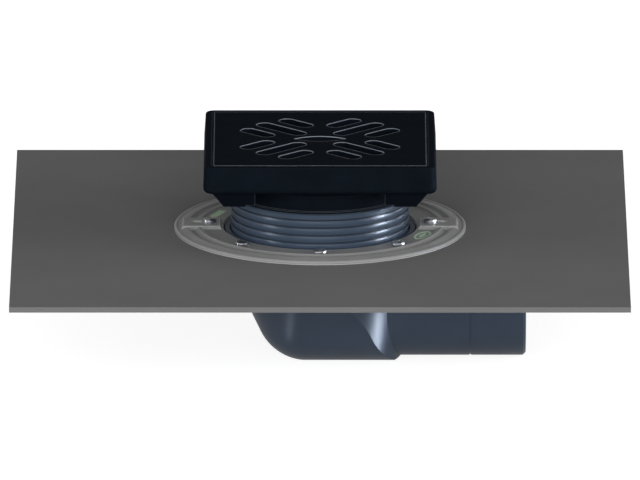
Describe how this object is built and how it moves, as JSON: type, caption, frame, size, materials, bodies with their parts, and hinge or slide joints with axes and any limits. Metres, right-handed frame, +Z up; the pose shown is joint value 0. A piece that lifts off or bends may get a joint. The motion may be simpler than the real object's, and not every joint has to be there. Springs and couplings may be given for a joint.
{
  "type": "balcony drain",
  "caption": "Balcony drain: square grate in a height-adjustable frame on a ribbed riser, clamp ring on a waterproofing sheet, and a bowl with a side outlet.",
  "frame": {"origin": "on the drain's upright axis, at the height that the bowl and the outlet pipe stand on", "axes": "+Z up through the grate, +X along the outlet pipe, away from the bowl"},
  "size_m": [0.39, 0.39, 0.1407],
  "materials": {
    "black_plastic": "satin moulded plastic, near black",
    "blue_grey_plastic": "smooth moulded plastic, dark blue-grey",
    "ring_metal": "pressed sheet metal, grey, satin",
    "screw_steel": "bright steel",
    "insert_brass": "turned brass",
    "sheet_bitumen": "matt dark grey waterproofing sheet",
    "seal_rubber": "black elastomer",
    "trap_plastic": "plain grey moulded plastic"
  },
  "bodies": {
    "base": {"drain_body": "blue_grey_plastic", "riser_seal": "seal_rubber", "clamp_inserts": "insert_brass", "membrane_sheet": "sheet_bitumen", "clamp_ring": "ring_metal", "clamp_screws": "screw_steel"},
    "riser": {"riser_tube": "blue_grey_plastic", "trap_funnel": "trap_plastic", "trap_seal": "seal_rubber", "trap_pot": "trap_plastic"},
    "frame": {"top_frame": "black_plastic", "neck_seal": "seal_rubber", "grate": "black_plastic"}
  },
  "joints": [
    {"name": "riser_slide", "type": "slide", "parent": "base", "child": "riser", "axis": [0, 0, 1], "range_m": [-0.01, 0.012]},
    {"name": "frame_turn", "type": "hinge", "parent": "riser", "child": "frame", "pos_m": [0, 0, 0.1054], "axis": [0, 0, 1], "continuous": true}
  ]
}
